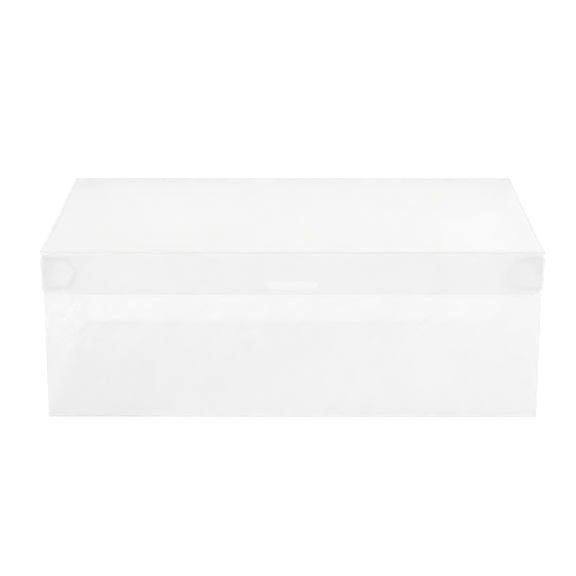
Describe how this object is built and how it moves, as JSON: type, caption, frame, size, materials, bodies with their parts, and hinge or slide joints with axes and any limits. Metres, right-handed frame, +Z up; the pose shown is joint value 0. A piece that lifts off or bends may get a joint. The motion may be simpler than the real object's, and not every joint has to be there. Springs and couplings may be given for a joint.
{
  "type": "shoe box",
  "caption": "Translucent folding shoe box of thin ribbed plastic sheet, with a lift-off lid whose rims and corner tabs fold at living hinges.",
  "frame": {"origin": "centre of the base's underside, on the surface that the box stands on", "axes": "+X along the length, to the right seen from the front; -Y towards the front, where the lid's rim has a slot; +Z up"},
  "size_m": [0.32, 0.2, 0.112],
  "materials": {
    "clear_sheet": "satin translucent polypropylene sheet with fine diagonal ribs",
    "crease_line": "pressed fold line, a little denser than the sheet"
  },
  "bodies": {
    "base": {"floor_panel": "clear_sheet", "front_wall": "clear_sheet", "back_wall": "clear_sheet", "left_wall": "clear_sheet", "right_wall": "clear_sheet", "floor_hinge_front": "crease_line", "floor_hinge_back": "crease_line", "floor_hinge_left": "crease_line", "floor_hinge_right": "crease_line", "wall_tab_front_left": "clear_sheet", "wall_tab_front_right": "clear_sheet", "wall_tab_back_left": "clear_sheet", "wall_tab_back_right": "clear_sheet", "wall_tab_hinge_front_left": "crease_line", "wall_tab_hinge_front_right": "crease_line", "wall_tab_hinge_back_left": "crease_line", "wall_tab_hinge_back_right": "crease_line"},
    "lid": {"lid_panel": "clear_sheet", "lid_hinge_front": "crease_line", "lid_hinge_back": "crease_line", "lid_hinge_left": "crease_line", "lid_hinge_right": "crease_line"},
    "lid_front_rim": {"lid_front_rim": "clear_sheet"},
    "lid_back_rim": {"lid_back_rim": "clear_sheet"},
    "lid_left_rim": {"lid_left_rim": "clear_sheet", "rim_tab_front_left": "clear_sheet", "rim_tab_hinge_front_left": "crease_line", "rim_tab_back_left": "clear_sheet", "rim_tab_hinge_back_left": "crease_line"},
    "lid_right_rim": {"lid_right_rim": "clear_sheet", "rim_tab_front_right": "clear_sheet", "rim_tab_hinge_front_right": "crease_line", "rim_tab_back_right": "clear_sheet", "rim_tab_hinge_back_right": "crease_line"}
  },
  "joints": [
    {"name": "lid_lift", "type": "slide", "parent": "base", "child": "lid", "axis": [0, 0, 1], "range_m": [0, 0.15]},
    {"name": "lid_front_rim_fold", "type": "hinge", "parent": "lid", "child": "lid_front_rim", "pos_m": [0, -0.09975, 0.11175], "axis": [-1, 0, 0], "range_deg": [0, 90]},
    {"name": "lid_back_rim_fold", "type": "hinge", "parent": "lid", "child": "lid_back_rim", "pos_m": [0, 0.09975, 0.11175], "axis": [1, 0, 0], "range_deg": [0, 90]},
    {"name": "lid_left_rim_fold", "type": "hinge", "parent": "lid", "child": "lid_left_rim", "pos_m": [-0.15975, 0, 0.11175], "axis": [0, 1, 0], "range_deg": [0, 90]},
    {"name": "lid_right_rim_fold", "type": "hinge", "parent": "lid", "child": "lid_right_rim", "pos_m": [0.15975, 0, 0.11175], "axis": [0, -1, 0], "range_deg": [0, 90]}
  ]
}
